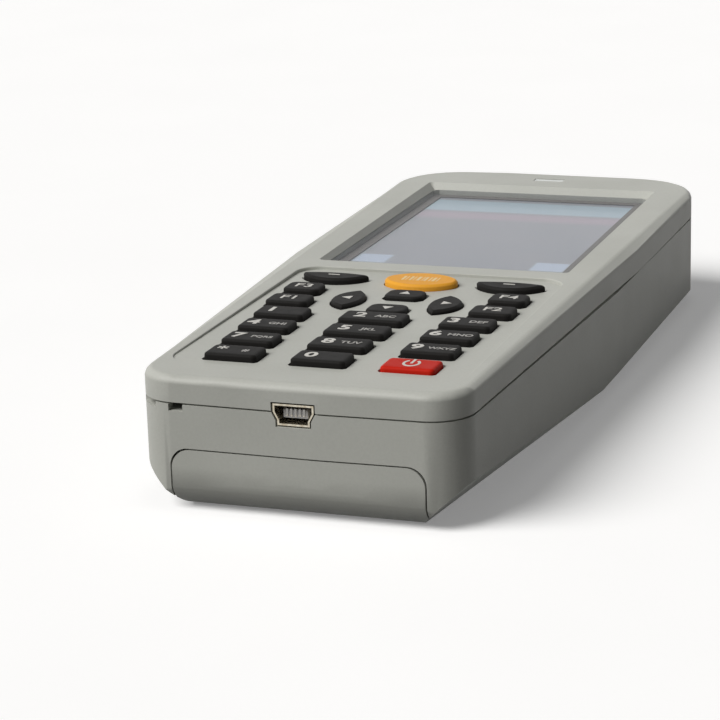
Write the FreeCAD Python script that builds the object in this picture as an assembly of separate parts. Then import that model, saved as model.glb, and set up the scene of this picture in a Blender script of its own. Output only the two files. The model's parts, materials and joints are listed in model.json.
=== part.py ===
import FreeCAD, Part
import math
import os

from FreeCAD import Vector

# Handheld data terminal, lying on its back with the screen up.
# Sizes are in millimetres. The model is drawn from the socket end (y = 0) towards the scanning head
# and from the parting line between the two housings (z = 0), and is then moved so that the origin
# is the middle of the footprint on the surface that it rests on.

# Casing
end_half_width = 30.9
end_bow = 0.8
end_corner_radius = 8.0
flare_angle = math.radians(2.75)
flare_end_y = 85.0
straight_from_y = 125.0
head_depth = 17.0
head_bow = 3.0
head_corner_radius = 15.0
rear_depth = 20.5
end_top_z = 5.0
head_top_z = 6.0
wall = 2.2
back_wall = 1.8
top_edge_radius = 1.9
end_heel_radius = 7.0
head_heel_radius = 9.0
bevel_height_end = 9.0
bevel_width_end = 9.2
bevel_height_head = 2.2
bevel_width_head = 2.6
parting_gap = 0.35
parting_gap_depth = 0.8

# Keypad
deck_z = 4.75
deck_thickness = 1.65
key_rise = 1.32
power_key_rise = 1.0
arrow_key_rise = 0.9
key_travel = 0.7
key_clearance = 0.25
key_flange = 0.6
key_flange_thickness = 0.6
key_edge = 0.45
key_corner = 1.0
first_row_y = 12.4
row_pitch = 9.57
key_depth = 6.6
side_key_width = 10.5
side_key_inset = 13.9
side_key_fan = 0.59
middle_key_width = 10.8
middle_key_growth = 0.81
function_key_inset = 10.0
function_key_width = 8.9
option_key_inset = 9.5
option_key_width = 7.9
arrow_pitch_y = 11.4
arrow_width = 8.2
arrow_depth = 6.3
arrow_side_x = 9.3
arrow_side_width = 6.5
arrow_side_length = 12.4
scan_key_width = 15.2
scan_key_depth = 10.4
soft_key_inset = 12.3
soft_key_width = 14.2
soft_key_upper_sag = 1.0
soft_key_lower_sag = 4.6
field_margin = 3.0
field_corner = 5.0
mat_thickness = 0.8
mat_gap = 0.1
keypad_board_thickness = 1.2
keypad_sheet_margin = 0.6
keypad_sheet_corner = 2.0
mat_post_width = 2.6
soft_key_gap = 3.2
scan_key_gap = 1.8

# Display
display_gap = 6.4
active_width = 49.0
active_height = 73.4
lens_border = 1.4
lens_thickness = 1.2
lens_drop = 0.35
lens_clearance = 0.15
lens_corner = 1.2
gasket_thickness = 0.3
ledge_width = 1.9
ledge_thickness = 1.2
panel_margin = 0.9
panel_gap = 0.15
panel_thickness = 2.4
tray_wall = 1.8
tray_floor = 1.0

# Socket on the end, a five-contact miniature USB receptacle
socket_top_width = 7.7
socket_bottom_width = 6.1
socket_height = 3.95
socket_z = -0.65
socket_set_back = 0.2
socket_length = 9.2
socket_wall = 0.35
socket_clearance = 0.3
tongue_width = 4.6
tongue_thickness = 1.7
tongue_set_back = 1.3
contact_count = 5
contact_pitch = 0.8
contact_width = 0.4
contact_height = 0.18
contact_set_back = 0.2
insert_depth = 3.0

# Boards and what they carry
board_thickness = 1.6
board_half_width = 24.0
board_end_gap = 1.4
board_head_gap = 10.0
board_notch_gap = 0.4
can_width = 26.0
can_length = 32.0
can_height = 2.2
can_corner = 1.0
cell_radius = 6.2
cell_height = 2.6
cell_margin = 6.0
board_post_width = 3.6
board_post_inset = 3.0
tray_post_width = 3.0
tray_post_margin = 6.0
link_width = 18.0
link_depth = 4.0
link_rest_depth = 3.0

# Battery bay, pack and door
door_half_width = 24.0
door_top_z = -8.8
door_corner_radius = 3.6
door_length = 97.0
door_wall = 1.6
door_gap = 0.3
bay_half_width = 20.0
bay_start_y = 7.6
bay_end_margin = 5.0
bay_roof_z = -9.2
bay_roof_thickness = 1.6
pack_clearance = 0.25
rail_inset = 1.8
rail_neck = 0.8
rail_lip = 0.9
rail_height = 1.1
rail_drop = 0.9
battery_contact_pitch = 5.0
battery_contact_width = 1.8
battery_contact_height = 4.0
battery_contact_depth = 1.6
grip_count = 4
grip_pitch = 2.4
grip_width = 18.0
grip_groove = 1.0
grip_depth = 0.5
grip_margin = 14.0

# Lanyard bar at the left corner of the end
bar_outer_x = -26.9
bar_inner_x = -24.1
slot_inner_x = -21.3
corner_slot_height = 1.3
inner_slot_height = 1.6
bar_thickness = 2.4
passage_depth = 2.6

# Scanning head
scan_window_width = 30.0
scan_window_height = 11.0
scan_window_z = -9.0
scan_window_thickness = 1.4
scan_window_lip = 1.3
engine_width = 21.0
engine_height = 11.5
engine_length = 13.0
engine_gap = 1.6
engine_corner = 1.0
engine_lens_radius = 3.2
engine_lens_length = 0.8
speaker_radius = 8.0
speaker_height = 3.6
speaker_y_from_head = 52.0
grille_slots = 5
grille_pitch = 2.4
grille_slot_width = 1.1
grille_slot_length = 11.0
light_width = 7.0
light_depth = 2.2
light_flange = 0.6
light_flange_thickness = 0.8
light_y_from_head = 8.0

# Screws between the housings
screw_radius = 1.0
screw_head_radius = 1.9
screw_head_height = 1.5
screw_boss_width = 5.2
screw_recess = 3.0
screw_grip = 4.0
screw_head_y_from_head = 11.5
screw_head_x = 25.0
screw_side_gap = 3.6
screw_mid_y = 100.0

# How far a cut runs past the face that it opens, and how far a post starts inside the wall it stands on
past = 1.0
seat_sink = 0.5

# Places that follow from the sizes above
side_key_x = end_half_width - side_key_inset
function_key_x = end_half_width - function_key_inset
option_key_x = end_half_width - option_key_inset
soft_key_x = end_half_width - soft_key_inset
deck_under_z = deck_z - deck_thickness
function_row_y = first_row_y + 4 * row_pitch
option_row_y = first_row_y + 5 * row_pitch
arrow_centre_y = function_row_y + row_pitch - key_depth / 3
scan_key_y = arrow_centre_y + (arrow_pitch_y + arrow_depth + scan_key_depth) / 2 + scan_key_gap
soft_key_y = option_row_y + key_depth + soft_key_gap + soft_key_lower_sag
field_end_y = scan_key_y + scan_key_depth / 2 + field_margin
lens_half_width = active_width / 2 + lens_border
lens_start_y = field_end_y + display_gap
lens_end_y = lens_start_y + active_height + 2 * lens_border
length = lens_end_y + head_depth
flare_radius = (straight_from_y - flare_end_y) / math.sin(flare_angle)
flare_half_width = end_half_width + (flare_end_y - end_bow) * math.tan(flare_angle)
head_half_width = flare_half_width + flare_radius * (1 - math.cos(flare_angle))
mat_top_z = deck_under_z - key_flange_thickness - key_travel - mat_gap
keypad_board_top_z = mat_top_z - mat_thickness
lens_top_z = deck_z - lens_drop
lens_bottom_z = lens_top_z - lens_thickness
ledge_top_z = lens_bottom_z - gasket_thickness
ledge_bottom_z = ledge_top_z - ledge_thickness
panel_top_z = lens_bottom_z - panel_gap
panel_bottom_z = panel_top_z - panel_thickness
tray_bottom_z = panel_bottom_z - tray_floor
socket_bottom_z = socket_z - socket_height / 2
board_top_z = socket_bottom_z
board_bottom_z = board_top_z - board_thickness
board_end_y = length - head_depth - board_head_gap
cavity_floor_z = bay_roof_z + bay_roof_thickness
head_floor_z = -rear_depth + back_wall
bay_end_y = door_length - bay_end_margin
window_face_y = length - 2 * scan_window_lip - head_bow / 3
engine_front_y = window_face_y - scan_window_thickness - engine_gap
speaker_y = length - speaker_y_from_head
light_y = length - light_y_from_head


def box(x0, x1, y0, y1, z0, z1):
    return Part.makeBox(x1 - x0, y1 - y0, z1 - z0, Vector(x0, y0, z0))


def cylinder(radius, x, y, z0, z1):
    return Part.makeCylinder(radius, z1 - z0, Vector(x, y, z0))


def joined(shapes):
    shape = shapes[0]
    for other in shapes[1:]:
        shape = shape.fuse(other)
    return shape.removeSplitter()


def solid_from(wire, height):
    return Part.Face(wire).extrude(Vector(0, 0, height))


def upright_edges(shape):
    return [e for e in shape.Edges if abs(e.tangentAt(e.FirstParameter).z) > 0.999]


def post(width, x, y, z0, z1):
    half = width / 2
    return box(x - half, x + half, y - half, y + half, z0, z1)


def rounded_block(x0, x1, y0, y1, z0, z1, radius):
    block = box(x0, x1, y0, y1, z0, z1)
    return block.makeFillet(radius, upright_edges(block))


def mirrored(point):
    return Vector(-point.x, point.y, point.z)


def bow_radius(half_chord, bow):
    return (half_chord ** 2 + bow ** 2) / (2 * bow)


def outline_wire(inset):
    # Bowed end, straight flared sides that turn parallel in one long arc, and a bowed head,
    # with every edge drawn in by the same inset and the corners still sharp
    end_radius = bow_radius(end_half_width, end_bow)
    head_radius = bow_radius(head_half_width, head_bow)
    arc_x = head_half_width - flare_radius
    side_radius = flare_radius - inset

    def on_flare(angle):
        return Vector(arc_x + side_radius * math.cos(angle),
                      straight_from_y - side_radius * math.sin(angle), 0)

    side_x = end_half_width - end_bow * math.tan(flare_angle) - inset / math.cos(flare_angle)
    corner_y = end_bow + inset
    for _ in range(8):
        corner_x = side_x + corner_y * math.tan(flare_angle)
        corner_y = end_radius - math.sqrt((end_radius - inset) ** 2 - corner_x ** 2)
    end_right = Vector(corner_x, corner_y, 0)
    head_x = head_half_width - inset
    head_y = length - head_radius + math.sqrt((head_radius - inset) ** 2 - head_x ** 2)
    head_right = Vector(head_x, head_y, 0)
    right = [
        Part.makeLine(end_right, on_flare(flare_angle)),
        Part.Arc(on_flare(flare_angle), on_flare(flare_angle / 2), on_flare(0)).toShape(),
        Part.makeLine(on_flare(0), head_right),
    ]
    left = [edge.mirror(Vector(0, 0, 0), Vector(1, 0, 0)) for edge in right]
    end = Part.Arc(mirrored(end_right), Vector(0, inset, 0), end_right).toShape()
    head = Part.Arc(head_right, Vector(0, length - inset, 0), mirrored(head_right)).toShape()
    return Part.Wire(Part.__sortEdges__([end] + right + [head] + left))


def column(inset, z0, z1):
    # The casing's outline as an upright block, drawn in by a wall thickness
    block = solid_from(outline_wire(inset), z1 - z0)
    end_corners = [e for e in upright_edges(block) if e.CenterOfMass.y < end_corner_radius]
    block = block.makeFillet(end_corner_radius - inset, end_corners)
    head_corners = [e for e in upright_edges(block)
                    if length - head_corner_radius < e.CenterOfMass.y and e.CenterOfMass.x ** 2
                    > (head_half_width - inset - 0.5) ** 2]
    block = block.makeFillet(head_corner_radius - inset, head_corners)
    block.translate(Vector(0, 0, z0))
    return block


def side_profile():
    # Seen from the side: a sloping top, and a back whose two ends turn up in a heel
    wide = 2 * head_half_width
    low = -rear_depth
    slope = (head_top_z - end_top_z) / length
    over = 5.0
    end_turn = end_heel_radius * (1 - math.cos(math.pi / 4))
    head_turn = head_heel_radius * (1 - math.cos(math.pi / 4))
    points = {
        "top_end": Vector(-wide, -over, end_top_z - slope * over),
        "end": Vector(-wide, -over, low + end_heel_radius),
        "heel_start": Vector(-wide, 0, low + end_heel_radius),
        "heel_end": Vector(-wide, end_heel_radius, low),
        "head_heel_start": Vector(-wide, length - head_heel_radius, low),
        "head_heel_end": Vector(-wide, length, low + head_heel_radius),
        "head": Vector(-wide, length + over, low + head_heel_radius),
        "top_head": Vector(-wide, length + over, head_top_z + slope * over),
    }
    heel_mid = Vector(-wide, end_turn, low + end_turn)
    head_heel_mid = Vector(-wide, length - head_turn, low + head_turn)
    edges = [
        Part.makeLine(points["top_end"], points["end"]),
        Part.makeLine(points["end"], points["heel_start"]),
        Part.Arc(points["heel_start"], heel_mid, points["heel_end"]).toShape(),
        Part.makeLine(points["heel_end"], points["head_heel_start"]),
        Part.Arc(points["head_heel_start"], head_heel_mid, points["head_heel_end"]).toShape(),
        Part.makeLine(points["head_heel_end"], points["head"]),
        Part.makeLine(points["head"], points["top_head"]),
        Part.makeLine(points["top_head"], points["top_end"]),
    ]
    return Part.Face(Part.Wire(edges)).extrude(Vector(2 * wide, 0, 0))


def bevel_section(y, half_width, height, width):
    over = 6.0
    low = -rear_depth
    steep = height / width
    points = [
        Vector(half_width + over, y, low - over),
        Vector(half_width + over, y, low + height + over * steep),
        Vector(half_width - width - over / steep, y, low - over),
    ]
    return Part.makePolygon(points + points[:1])


def side_bevel():
    # The long bevel under each side, deep at the socket end and shallow at the head
    run = 20.0
    rate_height = (bevel_height_head - bevel_height_end) / flare_end_y
    rate_width = (bevel_width_head - bevel_width_end) / flare_end_y
    rate_half = (flare_half_width - end_half_width) / flare_end_y
    near = bevel_section(-run, end_half_width - run * rate_half,
                         bevel_height_end - run * rate_height, bevel_width_end - run * rate_width)
    far = bevel_section(flare_end_y, flare_half_width, bevel_height_head, bevel_width_head)
    last = bevel_section(length + run, flare_half_width, bevel_height_head, bevel_width_head)
    right = Part.makeLoft([near, far], True, True).fuse(Part.makeLoft([far, last], True, True))
    return right.fuse(right.mirror(Vector(0, 0, 0), Vector(1, 0, 0)))


def top_edge_flat(angle):
    # How far a flat that touches the top edge's round at this angle reaches down each face
    across = top_edge_radius * (1 - (1 - math.sin(angle)) / math.cos(angle))
    down = top_edge_radius * (1 - (1 - math.cos(angle)) / math.sin(angle))
    return across, down


def casing():
    # The round along the top edge is three flats, one at 45 degrees and one to each side of it
    body = column(0, -rear_depth, head_top_z + past).common(side_profile())
    top_edges = [e for e in body.Edges if e.CenterOfMass.z > end_top_z - past]
    across, down = top_edge_flat(math.radians(20))
    turned = body.makeChamfer(top_edge_flat(math.pi / 4)[0], top_edges)
    for legs in [(across, down), (down, across)]:
        turned = turned.common(body.makeChamfer(legs[0], legs[1], top_edges))
    return turned.cut(side_bevel()).removeSplitter()


def cut_corner_wire(x0, x1, y0, y1, corner, z):
    # A rectangle with its four corners cut off, one point on each side of each corner
    points = [Vector(x0 + corner, y0, z), Vector(x1 - corner, y0, z), Vector(x1, y0 + corner, z),
              Vector(x1, y1 - corner, z), Vector(x1 - corner, y1, z), Vector(x0 + corner, y1, z),
              Vector(x0, y1 - corner, z), Vector(x0, y0 + corner, z)]
    return Part.makePolygon(points + points[:1])


def lens_wire(x, y, width, upper_sag, lower_sag, z):
    # Two arcs on one chord, as on the pair of keys under the display
    left = Vector(x - width / 2, y, z)
    right = Vector(x + width / 2, y, z)
    upper = Part.Arc(left, Vector(x, y + upper_sag, z), right).toShape()
    lower = Part.Arc(right, Vector(x, y - lower_sag, z), left).toShape()
    return Part.Wire([upper, lower])


def leaf_wire(x, y, width, depth, outward, z):
    # An upright leaf, rounder on its outer side
    bottom = Vector(x, y - depth / 2, z)
    top = Vector(x, y + depth / 2, z)
    outer = Part.Arc(bottom, Vector(x + outward * width * 0.62, y, z), top).toShape()
    inner = Part.Arc(top, Vector(x - outward * width * 0.38, y, z), bottom).toShape()
    return Part.Wire([outer, inner])


def oval_wire(x, y, width, depth, z):
    # Four arcs that meet smoothly: tight ones at the sides, flat ones above and below
    side_radius = depth * 0.32
    side_x = width / 2 - side_radius
    flat_radius = (depth ** 2 / 4 + side_x ** 2 - side_radius ** 2) / (depth - 2 * side_radius)
    lean = math.atan2(side_x, flat_radius - depth / 2)
    corner = Vector(side_x + side_radius * math.sin(lean), side_radius * math.cos(lean), 0)
    turn = [Vector(corner.x, corner.y, 0), Vector(-corner.x, corner.y, 0),
            Vector(-corner.x, -corner.y, 0), Vector(corner.x, -corner.y, 0)]
    middle = [Vector(0, depth / 2, 0), Vector(-width / 2, 0, 0), Vector(0, -depth / 2, 0),
              Vector(width / 2, 0, 0)]
    place = Vector(x, y, z)
    arcs = [Part.Arc(place + turn[n], place + middle[n], place + turn[(n + 1) % 4]) for n in range(4)]
    return Part.Wire([arc.toShape() for arc in arcs])


def key_list():
    # Each key has a name, an outline function of a grown margin and a height, and a rise above the deck
    keys = []
    digits = [["star", "zero", "power"], ["seven", "eight", "nine"],
              ["four", "five", "six"], ["one", "two", "three"]]
    for row, names in enumerate(digits):
        y = first_row_y + row * row_pitch
        side_x = side_key_x + side_key_fan * row
        widths = [side_key_width, middle_key_width + middle_key_growth * row, side_key_width]
        for name, x, width in zip(names, [-side_x, 0, side_x], widths):
            rise = power_key_rise if name == "power" else key_rise
            keys.append(block_key(name, x, y, width, key_depth, key_corner, rise))
    for side, word in [(-1, "left"), (1, "right")]:
        keys.append(block_key(word + "_function", side * function_key_x, function_row_y,
                              function_key_width, key_depth, key_corner * 1.4, key_rise))
        keys.append(block_key(word + "_option", side * option_key_x, option_row_y,
                              option_key_width, key_depth, key_corner * 1.8, key_rise))
        keys.append(leaf_key(word + "_arrow", side))
        keys.append(soft_key(word + "_soft", side))
    low_y = arrow_centre_y - arrow_pitch_y / 2 - arrow_depth / 2
    for name, y in [("down_arrow", low_y), ("up_arrow", low_y + arrow_pitch_y)]:
        keys.append(block_key(name, 0, y, arrow_width, arrow_depth, key_corner * 2.2, arrow_key_rise))
    keys.append(("scan", lambda grow, z: oval_wire(0, scan_key_y, scan_key_width + 2 * grow,
                                                   scan_key_depth + 2 * grow, z), key_rise))
    return keys


def block_key(name, x, y, width, depth, corner, rise):
    def outline(grow, z):
        return cut_corner_wire(x - width / 2 - grow, x + width / 2 + grow, y - grow,
                               y + depth + grow, corner * (2 - math.sqrt(2)), z)
    return (name, outline, rise)


def leaf_key(name, side):
    def outline(grow, z):
        return leaf_wire(side * arrow_side_x, arrow_centre_y, arrow_side_width + 2 * grow,
                         arrow_side_length + 3 * grow, side, z)
    return (name, outline, arrow_key_rise)


def soft_key(name, side):
    def outline(grow, z):
        return lens_wire(side * soft_key_x, soft_key_y, soft_key_width + 4 * grow,
                         soft_key_upper_sag + grow, soft_key_lower_sag + grow, z)
    return (name, outline, key_rise)


def key_solid(outline, rise):
    # A cap with a chamfered rim, and a square flange that the deck holds in
    top = deck_z + rise
    cap = solid_from(outline(0, deck_under_z), top - deck_under_z)
    rim = [e for e in cap.Edges if abs(e.CenterOfMass.z - top) < 0.001]
    reach = cap.BoundBox
    flange = box(reach.XMin - key_flange, reach.XMax + key_flange, reach.YMin - key_flange,
                 reach.YMax + key_flange, deck_under_z - key_flange_thickness, deck_under_z)
    return joined([flange, cap.makeChamfer(key_edge, rim)])


def key_openings():
    height = head_top_z - deck_under_z + 2
    return [solid_from(outline(key_clearance, deck_under_z - 1), height) for _, outline, _ in key_list()]


def keypad_half_width():
    return function_key_x + function_key_width / 2


def deck_recess():
    # The shallow field that the keys stand in
    half = keypad_half_width() + field_margin
    return rounded_block(-half, half, first_row_y - field_margin, field_end_y,
                         deck_z, head_top_z + 1, field_corner)


def window_recess():
    # A bevelled frame round the display, down to the face of the lens
    rise = head_top_z - lens_top_z + 0.4
    block = lens_block(lens_clearance + rise, lens_top_z, lens_top_z + rise)
    bottom = [e for e in block.Edges if abs(e.CenterOfMass.z - lens_top_z) < 0.001]
    return block.makeChamfer(rise - 0.01, bottom)


def lens_block(clearance, z0, z1):
    half = lens_half_width + clearance
    return solid_from(cut_corner_wire(-half, half, lens_start_y - clearance, lens_end_y + clearance,
                                      lens_corner, z0), z1 - z0)


def window_block(inset, z0, z1):
    # The opening under the lens, and what lines up with it
    edge = ledge_width + inset
    return box(-lens_half_width + edge, lens_half_width - edge, lens_start_y + edge, lens_end_y - edge,
               z0, z1)


def socket_wire(grow, y):
    # Wide above and narrow below, with a sloping shoulder on each side
    top = socket_z + socket_height / 2 + grow
    bottom = socket_z - socket_height / 2 - grow
    wide = socket_top_width / 2 + grow
    narrow = socket_bottom_width / 2 + grow
    shoulder = socket_z + socket_height * 0.12
    foot = socket_z - socket_height * 0.26
    points = [Vector(wide, y, top), Vector(wide, y, shoulder), Vector(narrow, y, foot),
              Vector(narrow, y, bottom), Vector(-narrow, y, bottom), Vector(-narrow, y, foot),
              Vector(-wide, y, shoulder), Vector(-wide, y, top)]
    return Part.makePolygon(points + points[:1])


def socket_prism(grow, y0, y1):
    return Part.Face(socket_wire(grow, y0)).extrude(Vector(0, y1 - y0, 0))


def screw_places():
    # Two in the head and two in the sides, clear of the battery door and the display tray
    mid_x = lens_half_width + screw_side_gap
    head_y = length - screw_head_y_from_head
    return [(side * x, y) for x, y in [(screw_head_x, head_y), (mid_x, screw_mid_y)] for side in (-1, 1)]


def mat_posts():
    # Posts between the key columns, which hold the mat and its board down
    gap_x = (middle_key_width / 2 + side_key_x - side_key_width / 2) / 2
    rows = [first_row_y + (row_pitch + key_depth) / 2 + row_pitch * n for n in (0, 2)]
    places = [(gap_x + side_key_fan * n, y) for n, y in zip((0, 2), rows)]
    places.append((soft_key_x - soft_key_width / 2, option_row_y + key_depth))
    return [(side * x, y) for x, y in places for side in (-1, 1)]


def front_housing(body):
    shell = body.common(column(0, 0, head_top_z + 1))
    shell = shell.cut(column(wall, -1, ledge_bottom_z))
    keypad_room = column(wall, ledge_bottom_z - 1, deck_under_z)
    keypad_room = keypad_room.common(box(-head_half_width, head_half_width, 0, lens_start_y - wall,
                                         ledge_bottom_z - 1, deck_under_z))
    shell = shell.cut(keypad_room).cut(deck_recess()).cut(window_recess())
    shell = shell.cut(lens_block(lens_clearance, ledge_top_z, lens_top_z + 0.1))
    shell = shell.cut(window_block(0, ledge_bottom_z - 1, ledge_top_z + 1))
    for opening in key_openings():
        shell = shell.cut(opening)
    shell = shell.cut(light_block(0.1, ledge_bottom_z - 1, head_top_z + 1))
    shell = shell.cut(socket_prism(socket_clearance, -2, wall + 2))
    posts = [post(mat_post_width, x, y, mat_top_z, deck_under_z) for x, y in mat_posts()]
    bosses = [post(screw_boss_width, x, y, 0, ledge_bottom_z + seat_sink) for x, y in screw_places()]
    shell = joined([shell] + posts + bosses)
    for x, y in screw_places():
        shell = shell.cut(cylinder(screw_radius, x, y, -1, ledge_bottom_z))
    return shell


def light_block(grow, z0, z1):
    half = light_width / 2 + grow
    return box(-half, half, light_y - light_depth / 2 - grow, light_y + light_depth / 2 + grow, z0, z1)


def door_region(grow, y1):
    # The door's outline on the end face, run back along the casing
    half = door_half_width + grow
    low = -rear_depth - 5
    block = box(-half, half, -5, y1, low, door_top_z + grow)
    edges = [e for e in block.Edges if abs(e.tangentAt(0).y) > 0.999 and e.CenterOfMass.z > door_top_z - 1]
    return block.makeFillet(door_corner_radius, edges)


def door_room(grow):
    # What lies inside the door: behind its end and over its floor
    half = door_half_width + 10
    block = box(-half, half, end_bow + door_wall - grow, length, -rear_depth + door_wall - grow, 0)
    heel = [e for e in block.Edges if abs(e.tangentAt(0).x) > 0.999
            and e.CenterOfMass.y < length / 2 and e.CenterOfMass.z < -rear_depth / 2]
    return block.makeFillet(end_heel_radius - door_wall, heel)


def rail_run(side, grow, y0, y1):
    # A rib that stands on the door's floor and turns outwards in a lip
    floor = -rear_depth + door_wall
    inner = door_half_width - rail_inset - rail_neck - rail_lip
    neck = inner + rail_neck + grow
    lip = neck + rail_lip
    top = floor + rail_drop + rail_height + grow
    xs = [side * (inner - grow), side * neck, side * lip]
    rib = box(min(xs[:2]), max(xs[:2]), y0, y1, floor - 0.2, top)
    hook = box(min(xs[1:] + xs[:1]), max(xs), y0, y1, floor + rail_drop - grow, top)
    return rib.fuse(hook)


def battery_door(body):
    skin = body.common(door_region(0, door_length)).cut(door_room(0))
    rails = [rail_run(side, 0, end_heel_radius + 2, door_length - 4) for side in (-1, 1)]
    grip_start = door_length - grip_margin
    grips = [box(-grip_width / 2, grip_width / 2, grip_start + grip_pitch * n,
                 grip_start + grip_groove + grip_pitch * n, -rear_depth - past, -rear_depth + grip_depth)
             for n in range(grip_count)]
    door = joined([skin] + rails)
    for grip in grips:
        door = door.cut(grip)
    return door


def bay_box(clearance, z0):
    return box(-bay_half_width + clearance, bay_half_width - clearance, bay_start_y + clearance,
               bay_end_y - clearance, z0, bay_roof_z - clearance)


def battery_contact(n, clearance):
    x = (n - 1) * battery_contact_pitch
    half = battery_contact_width / 2
    mid_z = (bay_roof_z - rear_depth + door_wall) / 2
    return box(x - half, x + half, bay_end_y - clearance, bay_end_y + battery_contact_depth,
               mid_z - battery_contact_height / 2, mid_z + battery_contact_height / 2)


def rear_housing(body):
    shell = body.common(column(0, -rear_depth - 1, 0))
    shell = shell.cut(column(wall, cavity_floor_z, 1))
    head_room = column(wall, head_floor_z, cavity_floor_z + past)
    head_room = head_room.common(box(-head_half_width, head_half_width, door_length + wall,
                                     length - head_heel_radius, head_floor_z, cavity_floor_z + past))
    shell = shell.cut(head_room)
    shell = shell.cut(door_region(door_gap, door_length + door_gap).cut(door_room(-door_gap)))
    shell = shell.cut(bay_box(0, -rear_depth - 1))
    for side in (-1, 1):
        shell = shell.cut(rail_run(side, door_gap, -1, door_length))
    shell = shell.cut(column(-1, -parting_gap, 1).cut(column(parting_gap_depth, -parting_gap - 1, 2)))
    shell = shell.cut(socket_prism(socket_clearance, -2, wall + 2))
    inner = [lanyard_block(0), engine_seat()] + screw_tubes() + board_posts()
    shell = joined([shell.cut(scan_opening())] + inner)
    for n in range(3):
        shell = shell.cut(battery_contact(n, 0))
    for x, y in screw_places():
        shell = shell.cut(cylinder(screw_radius + 0.15, x, y, -rear_depth - 1, 1))
        shell = shell.cut(cylinder(screw_head_radius + 0.2, x, y, -rear_depth - 1, screw_seat_z()))
    shell = shell.cut(lanyard_passage())
    for n in range(grille_slots):
        x = (n - (grille_slots - 1) / 2) * grille_pitch
        half = grille_slot_width / 2
        shell = shell.cut(box(x - half, x + half, speaker_y - grille_slot_length / 2,
                              speaker_y + grille_slot_length / 2, -rear_depth - past, head_floor_z + past))
    return shell


def lanyard_block(grow):
    # A solid corner behind the slots, so that the cord's way round the bar is closed off inside
    left = bar_outer_x - 1.2 - grow
    far_y = bar_thickness + passage_depth + 1.2 + grow
    block = box(left, slot_inner_x + 1.2 + grow, bar_thickness - 1, far_y, cavity_floor_z, -parting_gap)
    return block.common(column(wall / 2, cavity_floor_z - 1, 0))


def lanyard_passage():
    far_y = bar_thickness + passage_depth
    corner = box(-end_half_width - past, bar_outer_x, -past, far_y, -corner_slot_height, past)
    inner = box(bar_inner_x, slot_inner_x, -past, far_y, -inner_slot_height, past)
    behind = box(bar_outer_x - 0.5, slot_inner_x, bar_thickness, far_y, -inner_slot_height, past)
    return joined([corner, inner, behind])


def screw_seat_z():
    return -rear_depth + screw_recess + screw_head_height


def screw_tubes():
    return [post(screw_boss_width, x, y, -rear_depth + back_wall / 2, 0) for x, y in screw_places()]


def board_posts():
    half = board_half_width - board_post_inset
    near = [post(board_post_width, x, y, cavity_floor_z - seat_sink, board_bottom_z)
            for x in (-half, half) for y in (first_row_y, lens_start_y - board_post_width)]
    far_y = board_end_y - tray_post_margin
    far = [post(board_post_width, x, far_y, head_floor_z - seat_sink, board_bottom_z) for x in (-half, half)]
    return near + far


def engine_floor_z():
    return scan_window_z - engine_height / 2


def engine_seat():
    return box(-engine_width / 2 + 1, engine_width / 2 - 1, engine_front_y - engine_length + 1,
               engine_front_y - 2, head_floor_z - 0.5, engine_floor_z())


def scan_opening():
    # A letterbox in the end of the head, with a flat seat inside for its window
    half = scan_window_width / 2
    low = scan_window_z - scan_window_height / 2
    high = scan_window_z + scan_window_height / 2
    hole = box(-half, half, window_face_y - 1, length + 1, low, high)
    lip = scan_window_lip
    seat = box(-half - lip, half + lip, window_face_y - scan_window_thickness - 1, window_face_y,
               low - lip, high + lip)
    back_y = engine_front_y - engine_length
    room = box(-half - lip, half + lip, back_y, window_face_y, low - lip, high + lip)
    return joined([hole, seat, room])


def scan_window():
    half = scan_window_width / 2
    lip = scan_window_lip
    low = scan_window_z - scan_window_height / 2
    high = scan_window_z + scan_window_height / 2
    return box(-half - lip, half + lip, window_face_y - scan_window_thickness, window_face_y,
               low - lip, high + lip)


def scan_engine():
    half = engine_width / 2
    block = box(-half, half, engine_front_y - engine_length, engine_front_y, engine_floor_z(),
                engine_floor_z() + engine_height)
    return block.makeChamfer(engine_corner, [e for e in block.Edges if abs(e.tangentAt(0).y) > 0.999])


def engine_lenses():
    half = engine_width / 2
    eyes = [Part.makeCylinder(engine_lens_radius, engine_lens_length,
                              Vector(x, engine_front_y, scan_window_z), Vector(0, 1, 0))
            for x in (-half / 2, half / 2)]
    return Part.makeCompound(eyes)


def display_tray():
    rim = window_block(-tray_wall, tray_bottom_z, ledge_bottom_z)
    return rim.cut(window_block(0.1, panel_bottom_z, ledge_bottom_z + 1))


def lcd_panel():
    return window_block(panel_margin - 0.5, panel_bottom_z, panel_top_z)


def tray_posts():
    # Spacers between the main board and the tray, one near each corner
    half = board_half_width - tray_post_width / 2
    places = [(x, y) for x in (-half, half)
              for y in (lens_start_y + tray_post_margin, board_end_y - tray_post_margin)]
    return Part.makeCompound([post(tray_post_width, x, y, board_top_z, tray_bottom_z) for x, y in places])


def keypad_sheet(z0, z1):
    margin = key_flange + keypad_sheet_margin
    half = keypad_half_width() + margin
    far_y = lens_start_y - wall - keypad_sheet_margin
    return solid_from(cut_corner_wire(-half, half, first_row_y - margin, far_y, keypad_sheet_corner, z0),
                      z1 - z0)


def board_link():
    # The plug between the two boards, which also holds the keypad board up
    y = first_row_y + 2 * row_pitch
    half = link_width / 2
    top = keypad_board_top_z - keypad_board_thickness
    header = box(-half, half, y, y + link_depth, board_top_z, top)
    rest = box(-half, half, option_row_y, option_row_y + link_rest_depth, board_top_z, top)
    return Part.makeCompound([header, rest])


def main_board():
    start = wall + board_end_gap
    board = box(-board_half_width, board_half_width, start, board_end_y, board_bottom_z, board_top_z)
    return board.cut(lanyard_block(board_notch_gap))


def socket_shell():
    outer = socket_prism(0, socket_set_back, socket_set_back + socket_length)
    back_y = socket_set_back + socket_length - socket_wall
    return outer.cut(socket_prism(-socket_wall, socket_set_back - past, back_y))


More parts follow.
